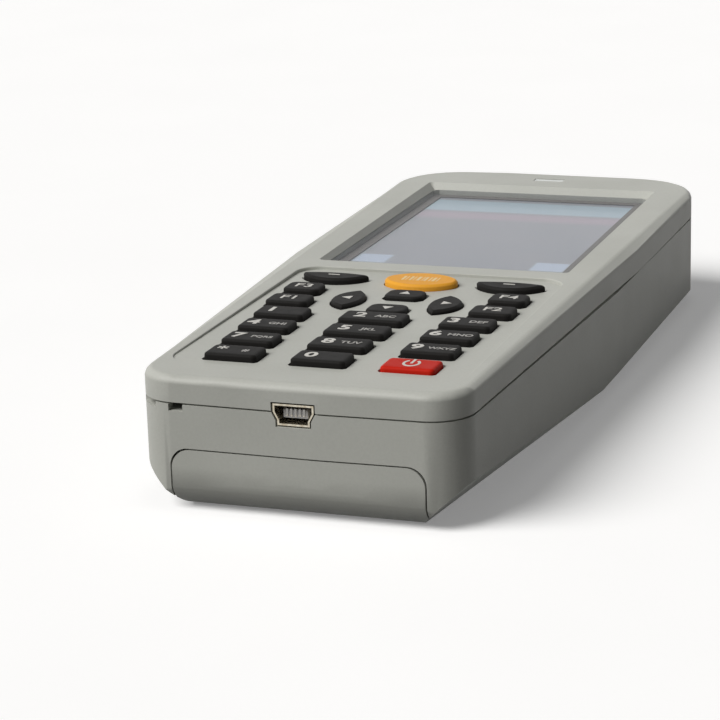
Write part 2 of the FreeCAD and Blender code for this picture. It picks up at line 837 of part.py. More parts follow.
def socket_insert():
    # The moulded block that closes the back of the shell, and the tongue that stands out of it
    back_y = socket_set_back + socket_length - socket_wall
    block = socket_prism(-socket_wall, back_y - insert_depth, back_y)
    half = tongue_width / 2
    tongue = box(-half, half, socket_set_back + tongue_set_back, back_y - insert_depth,
                 socket_z - tongue_thickness / 2, socket_z + tongue_thickness / 2 - contact_height)
    return joined([block, tongue])


def socket_contacts():
    z = socket_z + tongue_thickness / 2 - contact_height
    bars = []
    for n in range(contact_count):
        x = (n - (contact_count - 1) / 2) * contact_pitch
        start = socket_set_back + tongue_set_back + contact_set_back
        end = socket_set_back + socket_length - socket_wall - insert_depth
        bars.append(box(x - contact_width / 2, x + contact_width / 2, start, end, z, z + contact_height))
    return Part.makeCompound(bars)


def screws():
    shapes = []
    for x, y in screw_places():
        seat = screw_seat_z()
        head = cylinder(screw_head_radius, x, y, seat - screw_head_height, seat)
        shank = cylinder(screw_radius - 0.05, x, y, seat - 0.2, ledge_bottom_z - 0.4)
        shapes.append(joined([head, shank]))
    return Part.makeCompound(shapes)


def light_pipe():
    top = head_top_z - (length - light_y) * (head_top_z - end_top_z) / length - 0.1
    pipe = light_block(0, ledge_bottom_z, top)
    flange = light_block(light_flange, ledge_bottom_z - light_flange_thickness, ledge_bottom_z)
    return joined([pipe, flange])


def shield_can():
    y = first_row_y + 2.5 * row_pitch
    low = board_bottom_z - can_height
    return solid_from(cut_corner_wire(-can_width / 2, can_width / 2, y, y + can_length, can_corner, low),
                      can_height)


def backup_cell():
    y = door_length + wall + cell_radius + cell_margin
    return cylinder(cell_radius, 0, y, board_bottom_z - cell_height, board_bottom_z)


def sub_parts():
    body = casing()
    parts = {
        "front_housing": front_housing(body),
        "rear_housing": rear_housing(body),
        "battery_door": battery_door(body),
        "battery_pack": bay_box(pack_clearance, -rear_depth + door_wall + pack_clearance),
        "battery_contacts": Part.makeCompound([battery_contact(n, 0) for n in range(3)]),
        "display_lens": lens_block(0, lens_bottom_z, lens_top_z),
        "lens_gasket": lens_block(0, ledge_top_z, lens_bottom_z).cut(
            window_block(0, ledge_top_z - 1, lens_bottom_z + 1)),
        "lcd_panel": lcd_panel(),
        "display_tray": display_tray(),
        "tray_spacers": tray_posts(),
        "keypad_mat": keypad_sheet(keypad_board_top_z, mat_top_z),
        "keypad_board": keypad_sheet(keypad_board_top_z - keypad_board_thickness, keypad_board_top_z),
        "board_link": board_link(),
        "main_board": main_board(),
        "shield_can": shield_can(),
        "backup_cell": backup_cell(),
        "socket_shell": socket_shell(),
        "socket_insert": socket_insert(),
        "socket_contacts": socket_contacts(),
        "scan_window": scan_window(),
        "scan_engine": scan_engine(),
        "scan_engine_lenses": engine_lenses(),
        "speaker": cylinder(speaker_radius, 0, speaker_y, head_floor_z, head_floor_z + speaker_height),
        "status_light": light_pipe(),
        "housing_screws": screws(),
    }
    for name, outline, rise in key_list():
        parts["key_" + name] = key_solid(outline, rise)
    return parts


def write_parts():
    os.makedirs("parts", exist_ok=True)
    place = Vector(0, -length / 2, rear_depth)
    for name, shape in sub_parts().items():
        shape.translate(place)
        shape.exportStep("parts/" + name + ".step")
        print(name, len(shape.Solids), round(shape.Volume, 1), shape.isValid())


write_parts()
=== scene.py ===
import json
import math

import bmesh
import bpy
from mathutils import Matrix, Vector


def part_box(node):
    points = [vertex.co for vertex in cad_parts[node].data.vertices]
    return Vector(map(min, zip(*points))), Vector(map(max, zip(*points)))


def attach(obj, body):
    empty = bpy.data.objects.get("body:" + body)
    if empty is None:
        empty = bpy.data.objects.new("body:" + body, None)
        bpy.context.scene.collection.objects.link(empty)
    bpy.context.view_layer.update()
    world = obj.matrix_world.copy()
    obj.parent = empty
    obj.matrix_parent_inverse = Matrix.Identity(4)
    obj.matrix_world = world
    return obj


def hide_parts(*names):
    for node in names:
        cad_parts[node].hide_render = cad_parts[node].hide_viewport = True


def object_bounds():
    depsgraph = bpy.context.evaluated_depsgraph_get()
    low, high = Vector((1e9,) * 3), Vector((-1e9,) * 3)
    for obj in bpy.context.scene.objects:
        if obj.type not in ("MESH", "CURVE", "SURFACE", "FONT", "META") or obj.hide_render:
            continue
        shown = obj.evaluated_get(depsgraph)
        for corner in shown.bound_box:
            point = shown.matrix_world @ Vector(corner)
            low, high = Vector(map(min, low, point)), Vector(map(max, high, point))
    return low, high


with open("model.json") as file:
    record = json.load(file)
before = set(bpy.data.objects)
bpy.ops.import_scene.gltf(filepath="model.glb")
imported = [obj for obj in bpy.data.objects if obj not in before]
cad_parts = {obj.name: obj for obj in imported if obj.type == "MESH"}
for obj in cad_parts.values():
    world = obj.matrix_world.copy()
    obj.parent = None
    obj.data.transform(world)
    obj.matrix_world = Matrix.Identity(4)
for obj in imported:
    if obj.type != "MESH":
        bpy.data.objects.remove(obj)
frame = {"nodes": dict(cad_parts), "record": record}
cad_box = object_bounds()

MM = 0.001

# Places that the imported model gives, in metres
END_Y = cad_box[0][1]
PARTING_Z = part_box("rear_housing")[1].z
DECK_Z = PARTING_Z + 4.75 * MM
LENS_LOW, LENS_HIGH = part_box("display_lens")
PANEL_LOW, PANEL_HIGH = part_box("lcd_panel")

# Two places closer than this are the same place
NEAR = 0.03 * MM

# How sharply, in degrees, two faces may meet and still read as one round
SHELL_ROUND = 32
TRIM_ROUND = 35
CAP_ROUND = 50

# The strips that the bowed end is cut into, how far its heel reaches along and up, what is a flat face,
# and the ease round the keypad field
END_HALF_WIDTH = 30.9 * MM
END_STRIP = 4 * MM
HEEL_REACH = 5 * MM
HEEL_TOP = 8.6 * MM
FLAT_MERGE = 2
BROAD_FACE = 0.996
FIELD_EASE = 0.22 * MM

# Key caps: the flange that the deck hides, and the rounds and crown of what shows
KEY_FLANGE = 0.6 * MM
KEY_CORNER = 1.0 * MM
KEY_ROUND = 0.5 * MM
KEY_CROWN = 0.06 * MM
KEY_CROWN_EDGE = 0.38 * MM
KEY_TAPER = 0.97
CURVED_ROUND = 0.16 * MM

# The marks: the thickness of the ink, the width of a drawn line, and how bold each kind of lettering is
INK = 0.03 * MM
STROKE = 0.5 * MM
DIGIT_SIZE = 4.1 * MM
LETTER_SIZE = 2.0 * MM
LONG_GROUP = 0.84
FUNCTION_SIZE = 3.4 * MM
DIGIT_BOLD = 0.028
LETTER_BOLD = 0.022
THIN_BOLD = 0.012
ARROW_MARK = 1.3 * MM
SOFT_MARK = (2.4 * MM, 0.5 * MM)
POWER_RADIUS = 1.4 * MM
POWER_GAP = 0.6
POWER_STEM = 2.2 * MM
POWER_STEM_RISE = 0.95 * MM
POWER_STRETCH = 1.25
SCAN_BAR_LENGTH = 3.0 * MM

# The contact strips of the socket
PIN_COUNT = 5
PIN_WIDTH = 0.4 * MM
PIN_LEAD = 0.3 * MM
PIN_DROP = 1.2 * MM
PIN_ROUND = 0.07 * MM

# The dark border under the lens, painted shade of the bezel's sloped wall round the screen
SHADE_BORDER_WIDTH = 2.2 * MM
SHADE_BORDER_THICKNESS = 0.04 * MM
SHADE_BORDER_MARGIN = 0.1 * MM

# What the screen shows: bands as shares of its height from the top, and two tabs near its lower corners
TITLE_BAND = (0.18, 0.03)
PINK_BAND = (0.29, 0.2)
TAB_ROWS = (6.4 * MM, 13.4 * MM)
TAB_COLUMNS = (16.0 * MM, 23.3 * MM)

# The key light's power, where it comes from and how wide it is, in degrees, the light from all round as a
# share of white, and what the floor adds where it is seen
KEY_POWER = 3.15
KEY_FROM = (-0.52, -0.51, 0.75)
KEY_WIDTH = 40
FILL = 0.1
FLOOR_LIFT = 0.2


class Signal:
    """A number or colour that a node gives, so that shader maths reads as arithmetic."""

    def __init__(self, finish, socket):
        self.finish = finish
        self.socket = socket

    def math(self, operation, *values):
        return self.finish.node("ShaderNodeMath", {"operation": operation}, list(values))

    def __add__(self, other):
        return self.math("ADD", self, other)

    __radd__ = __add__

    def __mul__(self, other):
        return self.math("MULTIPLY", self, other)

    __rmul__ = __mul__

    def __rsub__(self, other):
        return self.math("SUBTRACT", other, self)

    def size(self):
        return self.math("ABSOLUTE", self)

    def soft_step(self, start, end):
        settings = {"interpolation_type": "SMOOTHSTEP"}
        values = {"Value": self, "From Min": start, "From Max": end}
        return self.finish.node("ShaderNodeMapRange", settings, values)


class Finish:
    """A material whose surface is worked out from the piece's own coordinates."""

    def __init__(self, name, roughness, specular=0.5, metallic=0.0, coat=0.0):
        self.material = bpy.data.materials.new(name)
        self.material.use_nodes = True
        self.tree = self.material.node_tree
        self.shader = self.tree.nodes["Principled BSDF"]
        self.shader.inputs["Roughness"].default_value = roughness
        self.shader.inputs["Specular IOR Level"].default_value = specular
        self.shader.inputs["Metallic"].default_value = metallic
        self.shader.inputs["Coat Weight"].default_value = coat
        self.place = self.tree.nodes.new("ShaderNodeTexCoord").outputs["Object"]

    def link(self, value, socket):
        if isinstance(value, Signal):
            self.tree.links.new(value.socket, socket)
        elif isinstance(value, bpy.types.NodeSocket):
            self.tree.links.new(value, socket)
        else:
            socket.default_value = value

    def node(self, kind, settings, values):
        made = self.tree.nodes.new(kind)
        for key, value in settings.items():
            setattr(made, key, value)
        pairs = values.items() if isinstance(values, dict) else enumerate(values)
        for key, value in pairs:
            self.link(value, made.inputs[key])
        return Signal(self, made.outputs[0])

    def axes(self):
        split = self.tree.nodes.new("ShaderNodeSeparateXYZ")
        self.link(self.place, split.inputs[0])
        return [Signal(self, socket) for socket in split.outputs]

    def noise(self, grain, detail):
        # The grain is the size of one spot, in metres
        values = {"Vector": self.place, "Scale": 1 / grain, "Detail": detail}
        return self.node("ShaderNodeTexNoise", {}, values)

    def cells(self, grain):
        values = {"Vector": self.place, "Scale": 1 / grain}
        return self.node("ShaderNodeTexVoronoi", {"feature": "F1"}, values)

    def mix(self, factor, first, second):
        made = self.tree.nodes.new("ShaderNodeMix")
        made.data_type = "RGBA"
        self.link(factor, made.inputs["Factor"])
        self.link(first, made.inputs["A"])
        self.link(second, made.inputs["B"])
        return Signal(self, [o for o in made.outputs if o.type == "RGBA"][0])

    def colour(self, value):
        self.link(value, self.shader.inputs["Base Color"])

    def roughness(self, value):
        self.link(value, self.shader.inputs["Roughness"])

    def bump(self, height, depth, strength):
        made = self.tree.nodes.new("ShaderNodeBump")
        made.inputs["Strength"].default_value = strength
        made.inputs["Distance"].default_value = depth
        self.link(height, made.inputs["Height"])
        self.link(made.outputs["Normal"], self.shader.inputs["Normal"])


def srgb(red, green, blue):
    # A colour as the eye reads it on a screen, turned into light
    def linear(value):
        value = value / 255
        return value / 12.92 if value <= 0.04045 else ((value + 0.055) / 1.055) ** 2.4
    return (linear(red), linear(green), linear(blue), 1.0)


def moulded_grey():
    finish = Finish("moulded_grey", roughness=0.5, specular=0.45)
    cloud = finish.noise(30 * MM, 3)
    speck = finish.noise(0.5 * MM, 2)
    base = finish.mix(cloud.soft_step(0.35, 0.65), srgb(176, 177, 170), srgb(182, 183, 176))
    finish.colour(finish.mix(speck.soft_step(0.3, 0.75) * 0.12, base, srgb(150, 150, 143)))
    finish.roughness(0.46 + 0.14 * finish.noise(6 * MM, 3))
    finish.bump(finish.cells(0.32 * MM) * 0.6 + finish.noise(0.18 * MM, 2) * 0.6, 0.016 * MM, 0.55)
    return finish.material


def key_rubber(name, dark, light, rough):
    finish = Finish(name, roughness=rough, specular=0.06)
    dust = finish.noise(0.4 * MM, 3).soft_step(0.52, 0.8)
    finish.colour(finish.mix(dust * 0.35, dark, light))
    finish.roughness(rough - 0.06 + 0.16 * finish.noise(2.2 * MM, 3))
    finish.bump(finish.noise(0.12 * MM, 2), 0.012 * MM, 0.5)
    return finish.material


def plain(name, tone, rough, metallic=0.0):
    # A finish with a slight mottle and grain, for the pieces inside and the small trim
    finish = Finish(name, roughness=rough, metallic=metallic)
    darker = tuple(0.82 * c for c in tone[:3]) + (1.0,)
    finish.colour(finish.mix(finish.noise(3.6 * MM, 3), tone, darker))
    finish.roughness(rough - 0.05 + 0.12 * finish.noise(1.8 * MM, 2))
    finish.bump(finish.noise(0.6 * MM, 2), 0.01 * MM, 0.5)
    return finish.material


def nickel():
    finish = Finish("nickel_plate", roughness=0.24, metallic=1.0)
    worn = finish.noise(0.7 * MM, 4).soft_step(0.35, 0.7)
    finish.colour(finish.mix(worn, srgb(206, 200, 184), srgb(176, 166, 146)))
    finish.roughness(0.16 + 0.2 * worn)
    finish.bump(finish.noise(0.3 * MM, 2), 0.01 * MM, 0.4)
    return finish.material


def band(value, start, end, soft):
    # 1 from start to end and 0 outside, with soft edges
    return value.soft_step(start - soft, start + soft) * (1 - value.soft_step(end - soft, end + soft))


def lit_screen():
    # A title bar, a pink line, a grey-blue page and two pale tabs at its lower corners
    finish = Finish("lit_screen", roughness=0.28, specular=0.5)
    x, y, _ = finish.axes()
    height = PANEL_HIGH.y - PANEL_LOW.y
    page = finish.mix(y.soft_step(PANEL_LOW.y, PANEL_HIGH.y), srgb(126, 131, 141), srgb(138, 141, 151))
    cloud = finish.noise(14 * MM, 2).soft_step(0.3, 0.7)
    page = finish.mix(cloud * 0.3, page, srgb(148, 145, 153))
    title = band(y, *[PANEL_HIGH.y - share * height for share in TITLE_BAND], 0.9 * MM)
    pink = band(y, *[PANEL_HIGH.y - share * height for share in PINK_BAND], 2.4 * MM)
    tab_rows = band(y, *[PANEL_LOW.y + row for row in TAB_ROWS], 0.6 * MM)
    tab_columns = band(x.size(), *TAB_COLUMNS, 0.5 * MM)
    page = finish.mix(pink * 0.7, page, srgb(172, 150, 166))
    page = finish.mix(title, page, srgb(160, 184, 198))
    page = finish.mix(tab_rows * tab_columns, page, srgb(176, 192, 214))
    finish.colour(page)
    finish.link(page, finish.shader.inputs["Emission Color"])
    finish.shader.inputs["Emission Strength"].default_value = 0.12
    finish.bump(finish.noise(0.2 * MM, 1), 0.004 * MM, 0.3)
    return finish.material


def clear_lens():
    # Smears from fingers change its gloss from place to place
    finish = Finish("clear_lens", roughness=0.06, specular=0.5, coat=0.4)
    finish.colour(srgb(150, 156, 165))
    smear = finish.noise(9 * MM, 3).soft_step(0.4, 0.7)
    finish.roughness(0.05 + 0.08 * smear)
    finish.shader.inputs["Alpha"].default_value = 0.16
    return finish.material


def red_window():
    finish = Finish("red_window", roughness=0.08, specular=0.6)
    finish.colour(finish.mix(finish.noise(5 * MM, 2), srgb(92, 12, 14), srgb(66, 8, 12)))
    finish.roughness(0.06 + 0.05 * finish.noise(4 * MM, 3))
    finish.shader.inputs["Alpha"].default_value = 0.82
    return finish.material


# One finish for each material slot of the record, and a few of the scene's own
FINISHES = {
    "housing_grey": moulded_grey(),
    "key_black": key_rubber("black_key", srgb(30, 29, 28), srgb(46, 44, 43), 0.55),
    "key_red": key_rubber("red_key", srgb(188, 34, 20), srgb(196, 50, 34), 0.5),
    "key_yellow": key_rubber("yellow_key", srgb(232, 164, 56), srgb(238, 182, 88), 0.42),
    "legend_white": plain("legend_white", srgb(214, 212, 206), 0.6),
    "legend_grey": plain("legend_grey", srgb(176, 174, 170), 0.6),
    "legend_cream": plain("legend_cream", srgb(240, 212, 160), 0.6),
    # The dark border under the lens is painted shade of the bezel's sloped wall round the screen
    "mask_black": plain("mask_black", srgb(92, 88, 84), 0.5),
    "lens_clear": clear_lens(),
    "display_glass": lit_screen(),
    "foam_black": plain("foam_black", srgb(34, 34, 34), 0.9),
    "tray_metal": plain("tray_metal", srgb(170, 170, 168), 0.35, 1.0),
    "board_nylon": plain("board_nylon", srgb(214, 210, 196), 0.5),
    "mat_rubber": plain("mat_rubber", srgb(58, 57, 56), 0.7),
    "board_green": plain("board_green", srgb(24, 84, 48), 0.4),
    "pack_black": plain("pack_black", srgb(48, 48, 50), 0.5),
    "contact_gold": plain("contact_gold", srgb(214, 180, 104), 0.25, 1.0),
    "socket_nickel": nickel(),
    "socket_plastic": plain("socket_plastic", srgb(172, 171, 172), 0.5),
    "pin_tin": plain("pin_tin", srgb(150, 148, 145), 0.4, 1.0),
    "scan_red": red_window(),
    "engine_black": plain("engine_black", srgb(36, 36, 37), 0.6),
    "light_white": plain("light_white", srgb(220, 224, 220), 0.2),
    "screw_steel": plain("screw_steel", srgb(150, 148, 144), 0.3, 1.0),
}


def dress_frame():
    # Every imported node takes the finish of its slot
    for row in frame["record"]["subparts"]:
        node = frame["nodes"][row["node"]]
        node.data.materials.clear()
        node.data.materials.append(FINISHES[row["material_slot"]])


def deselect():
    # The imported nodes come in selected, and an operator acts on all that is selected
    if bpy.context.object and bpy.context.object.mode != "OBJECT":
        bpy.ops.object.mode_set(mode="OBJECT")
    bpy.ops.object.select_all(action="DESELECT")


def only(obj):
    deselect()
    obj.select_set(True)
    bpy.context.view_layer.objects.active = obj


def finished(obj, name, slot, body):
    # A piece keeps its place in its mesh, and its object goes to the origin
    only(obj)
    bpy.ops.object.transform_apply(location=True, rotation=True, scale=True)
    obj.name = name
    obj.data.name = name
    obj.data.materials.clear()
    obj.data.materials.append(FINISHES[slot])
    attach(obj, body)


def edit(obj, kind):
    only(obj)
    bpy.ops.object.mode_set(mode="EDIT")
    bpy.ops.mesh.select_mode(type=kind)
    bpy.ops.mesh.select_all(action="DESELECT")


def pick_edges(obj, test):
    edit(obj, "EDGE")
    mesh = bmesh.from_edit_mesh(obj.data)
    for edge in mesh.edges:
        if test(*[vert.co for vert in edge.verts]):
            edge.select_set(True)
    bmesh.update_edit_mesh(obj.data)


def pick_faces(obj, test):
    edit(obj, "FACE")
    mesh = bmesh.from_edit_mesh(obj.data)
    for face in mesh.faces:
        if test(face.calc_center_median(), face.normal):
            face.select_set(True)
    bmesh.update_edit_mesh(obj.data)


def applied(obj, kind, **settings):
    only(obj)
    modifier = obj.modifiers.new("finish", kind)
    for key, value in settings.items():
        setattr(modifier, key, value)
    bpy.ops.object.modifier_apply(modifier=modifier.name)


def smoothed(obj, degrees=TRIM_ROUND):
    # Rounds read as rounds, and the broad flats beside them stay flat
    only(obj)
    bpy.ops.object.shade_smooth_by_angle(angle=math.radians(degrees))
    applied(obj, "WEIGHTED_NORMAL", mode="FACE_AREA", weight=80, keep_sharp=True, use_face_influence=True)


def start_block(low, high):
    # A block between two corners, for shaping
    deselect()
    bpy.ops.mesh.primitive_cube_add(size=1, location=(low + high) / 2, scale=high - low)
    bpy.ops.object.transform_apply(location=True, rotation=True, scale=True)
    return bpy.context.active_object


def traced(node, name):
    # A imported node's own skin as a new piece, with its loose triangles merged and its shading cleared
    obj = frame["nodes"][node].copy()
    obj.data = obj.data.copy()
    bpy.context.scene.collection.objects.link(obj)
    obj.name = name
    edit(obj, "VERT")
    bpy.ops.mesh.select_all(action="SELECT")
    bpy.ops.mesh.remove_doubles(threshold=0.001 * MM)
    bpy.ops.mesh.customdata_custom_splitnormals_clear()
    return obj


def soften_field(obj):
    # The rim of the sunken keypad field is eased
    edit(obj, "EDGE")
    mesh = bmesh.from_edit_mesh(obj.data)
    for edge in mesh.edges:
        if len(edge.link_faces) != 2:
            continue
        flat, wall = sorted(edge.link_faces, key=lambda face: -face.normal.z)
        on_top = flat.normal.z > 0.98 and min(vert.co.z for vert in edge.verts) > DECK_Z + NEAR
        foot = min(vert.co.z for vert in wall.verts)
        to_field = abs(wall.normal.z) < 0.2 and abs(foot - DECK_Z) < NEAR
        if on_top and to_field and max(vert.co.y for vert in edge.verts) < LENS_LOW.y - MM:
            edge.select_set(True)
    bmesh.update_edit_mesh(obj.data)
    bpy.ops.mesh.bevel(offset=FIELD_EASE, segments=3, affect="EDGES", clamp_overlap=True)


def shell(node, name, slot, body):
    # The flats become whole faces, and the bowed end is cut into upright strips, so that it shades evenly
    obj = traced(node, name)
    bpy.ops.mesh.dissolve_limited(angle_limit=math.radians(FLAT_MERGE))
    strips = int(END_HALF_WIDTH / END_STRIP)
    cuts = [((n * END_STRIP, 0, 0), (1, 0, 0)) for n in range(-strips, strips + 1)]
    for place, facing in cuts + [((0, 0, HEEL_TOP), (0, 0, 1))]:
        pick_faces(obj, lambda middle, normal: normal.y < -0.99 and middle.y < END_Y + HEEL_REACH)
        bpy.ops.mesh.bisect(plane_co=place, plane_no=facing)
    if node == "front_housing":
        soften_field(obj)
    # The broad faces and the heel lead the shading at their edges, and what lies between them follows
    pick_faces(obj, leads)
    bpy.ops.mesh.mod_weighted_strength(set=True, face_strength="STRONG")
    smoothed(obj, SHELL_ROUND)
    finished(obj, name, slot, body)
    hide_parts(node)


def leads(middle, normal):
    # On the heel only what has begun to turn under leads, so that the end darkens evenly towards it
    if middle.z < HEEL_TOP and middle.y < END_Y + HEEL_REACH and normal.y < -0.25:
        return normal.z < -0.04
    return max(-normal.y, abs(normal.x), abs(normal.z)) > BROAD_FACE


def crowned(obj, top):
    # The flat top rises a little towards its middle
    pick_faces(obj, lambda middle, normal: normal.z > 0.99 and middle.z > top - NEAR)
    bpy.ops.mesh.inset(thickness=KEY_CROWN_EDGE)
    bpy.ops.transform.translate(value=(0, 0, KEY_CROWN))


def block_cap(node, slot, corner):
    # A block with rounded corners, drawn in a little towards a rounded top
    low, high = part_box(node)
    flange = Vector((KEY_FLANGE, KEY_FLANGE, 0))
    low, high = low + flange, high - flange - Vector((0, 0, KEY_CROWN))
    obj = start_block(low, high)
    pick_edges(obj, lambda a, b: abs(a.z - b.z) > NEAR)
    bpy.ops.mesh.bevel(offset=corner, segments=6, affect="EDGES")
    pick_faces(obj, lambda middle, normal: normal.z > 0.99)
    middle = (low + high) / 2
    bpy.ops.transform.resize(value=(KEY_TAPER, KEY_TAPER, 1), center_override=(middle.x, middle.y, high.z))
    pick_edges(obj, lambda a, b: min(a.z, b.z) > high.z - NEAR)
    bpy.ops.mesh.bevel(offset=KEY_ROUND, segments=5, affect="EDGES")
    crowned(obj, high.z)
    cap(obj, node, slot)


def curved_cap(node, slot):
    # The leaves, the oval and the pair under the screen keep their outlines and get a rounder rim
    obj = traced(node, "cap")
    bpy.ops.mesh.dissolve_limited(angle_limit=math.radians(FLAT_MERGE / 2))
    pick_edges(obj, lambda a, b: min(a.z, b.z) > DECK_Z + 0.1 * MM and abs(a.z - b.z) < NEAR)
    bpy.ops.mesh.bevel(offset=CURVED_ROUND, segments=3, affect="EDGES")
    cap(obj, node, slot)


def cap(obj, node, slot):
    # A finished cap stands for its key and rides on it
    smoothed(obj, CAP_ROUND)
    finished(obj, node.replace("key_", "cap_"), slot, node)
    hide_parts(node)


# The keys by their form, the larger corners of some of them, in shares of the usual one, and their colours
BLOCK_KEYS = ["star", "zero", "power", "seven", "eight", "nine", "four", "five", "six", "one", "two",
              "three", "left_function", "right_function", "left_option", "right_option", "down_arrow",
              "up_arrow"]
CURVED_KEYS = ["left_arrow", "right_arrow", "left_soft", "right_soft", "scan"]
CORNERS = {"left_function": 1.4, "right_function": 1.4, "left_option": 1.8, "right_option": 1.8,
           "down_arrow": 2.2, "up_arrow": 2.2}
KEY_COLOURS = {"power": "key_red", "scan": "key_yellow"}


def key_caps():
    for name in BLOCK_KEYS:
        block_cap("key_" + name, KEY_COLOURS.get(name, "key_black"), CORNERS.get(name, 1) * KEY_CORNER)
    for name in CURVED_KEYS:
        curved_cap("key_" + name, KEY_COLOURS.get(name, "key_black"))


def written(words, size, middle, stretch, bold=THIN_BOLD):
    # Flat lettering with the thickness of ink, made a mesh before it is put in its place
    deselect()
    bpy.ops.object.text_add(location=(0, 0, 0))
    obj = bpy.context.active_object
    obj.data.body = words
    obj.data.size = size
    obj.data.align_x = "CENTER"
    obj.data.align_y = "CENTER"
    obj.data.extrude = INK / 2
    obj.data.offset = size * bold
    obj.data.resolution_u = 4
    bpy.ops.object.convert(target="MESH")
    obj = bpy.context.active_object
    obj.scale = (stretch, 1, 1)
    obj.location = middle
    bpy.ops.object.transform_apply(location=True, rotation=True, scale=True)
    return obj


def thickened(obj):
    # A flat mark gets the thickness of ink
    bpy.ops.object.transform_apply(location=True, rotation=True, scale=True)
    applied(obj, "SOLIDIFY", thickness=INK, offset=0)
    return obj


def triangle(middle, size, turn):
    # The arrow keys' mark
    deselect()
    bpy.ops.mesh.primitive_circle_add(vertices=3, radius=size, fill_type="NGON", location=middle,
                                      rotation=(0, 0, turn))
    return thickened(bpy.context.active_object)


def bar(middle, width, depth):
    # A plain stripe
    deselect()
    bpy.ops.mesh.primitive_plane_add(size=1, location=middle)
    obj = bpy.context.active_object
    obj.scale = (width, depth, 1)
    return thickened(obj)


def open_ring(middle, radius, gap):
    # An edge as long as a stroke is wide, spun into an arc that is open at the top
    outward = Vector((math.sin(gap), math.cos(gap), 0))
    along = Vector((outward.y, -outward.x, 0))
    start = middle + outward * radius
    deselect()
    place = start + along * STROKE / 2
    bpy.ops.mesh.primitive_plane_add(size=STROKE, location=place, rotation=(0, 0, -gap))
    obj = bpy.context.active_object
    bpy.ops.object.transform_apply(location=True, rotation=True, scale=True)
    edit(obj, "VERT")
    mesh = bmesh.from_edit_mesh(obj.data)
    for vert in mesh.verts:
        vert.select_set((vert.co - start).dot(along) > STROKE / 2)
    bmesh.update_edit_mesh(obj.data)
    bpy.ops.mesh.delete(type="VERT")
    bpy.ops.mesh.select_mode(type="EDGE")
    bpy.ops.mesh.select_all(action="SELECT")
    bpy.ops.mesh.spin(steps=28, angle=2 * math.pi - 2 * gap, center=middle, axis=(0, 0, 1))
    only(obj)
    return thickened(obj)


def spot(name, across=0.5, along=0.5):
    # A place on the top of a key, as shares of its width and depth
    low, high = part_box("key_" + name)
    size = high - low
    return Vector((low.x + across * size.x, low.y + along * size.y, high.z + INK / 2))


def legend(name, marks, slot="legend_white"):
    # The marks of one key are one piece that rides on it
    only(marks[0])
    for mark in marks:
        mark.select_set(True)
    if len(marks) > 1:
        bpy.ops.object.join()
    finished(marks[0], "mark_" + name, slot, "key_" + name)


# The digit and letters of each key, the words of the four keys beside the arrows, and the narrow side keys
DIGITS = {"seven": ("7", "PQRS"), "eight": ("8", "TUV"), "nine": ("9", "WXYZ"), "four": ("4", "GHI"),
          "five": ("5", "JKL"), "six": ("6", "MNO"), "one": ("1", ""), "two": ("2", "ABC"),
          "three": ("3", "DEF"), "zero": ("0", ""), "star": ("*", "#")}
SHORT_WORDS = {"left_function": "F1", "right_function": "F2", "left_option": "F3", "right_option": "F4"}
SIDE_KEYS = ("star", "seven", "four", "six", "nine", "three")


# The bars of the scan key's mark: where each stands and how wide it is, in millimetres
SCAN_BARS = [(-3.6, 0.5), (-2.9, 0.25), (-2.0, 0.5), (-1.3, 0.25), (-0.4, 0.7), (0.5, 0.25), (1.1, 0.5),
             (2.0, 0.3), (2.8, 0.6), (3.6, 0.25)]


def digit_marks():
    for name, (digit, letters) in DIGITS.items():
        # The long groups and the narrow keys at the sides leave the digit less room
        long_group = len(letters) > 3
        tight = long_group or (letters and name in SIDE_KEYS)
        bold = THIN_BOLD if name == "star" else DIGIT_BOLD
        legend(name, [written(digit, DIGIT_SIZE, spot(name, 0.27 if tight else 0.32), 1.2, bold)])
        if letters:
            size = LETTER_SIZE * (LONG_GROUP if long_group else 1)
            place = spot(name, 0.685 if tight else 0.67, 0.47)
            words = written(letters, size, place, 1.05, LETTER_BOLD)
            finished(words, "letters_" + name, "legend_grey", "key_" + name)


def power_mark():
    middle = spot("power")
    stem = middle + Vector((0, POWER_STEM_RISE, 0))
    legend("power", [open_ring(middle, POWER_RADIUS, POWER_GAP), bar(stem, STROKE, POWER_STEM)])
    bpy.ops.object.mode_set(mode="EDIT")
    bpy.ops.mesh.select_all(action="SELECT")
    bpy.ops.transform.resize(value=(1, POWER_STRETCH, 1), center_override=middle)
    deselect()


def legends():
    digit_marks()
    for name, words in SHORT_WORDS.items():
        legend(name, [written(words, FUNCTION_SIZE, spot(name), 1.2)])
    power_mark()
    for name, quarters in [("up_arrow", 0), ("down_arrow", 2), ("left_arrow", 1), ("right_arrow", -1)]:
        legend(name, [triangle(spot(name), ARROW_MARK, quarters * math.pi / 2)])
    for name in ("left_soft", "right_soft"):
        legend(name, [bar(spot(name, 0.5, 0.6), *SOFT_MARK)])
    scan = spot("scan")
    bars = [bar(scan + Vector((x * MM, 0, 0)), width * MM, SCAN_BAR_LENGTH) for x, width in SCAN_BARS]
    legend("scan", bars, "legend_cream")


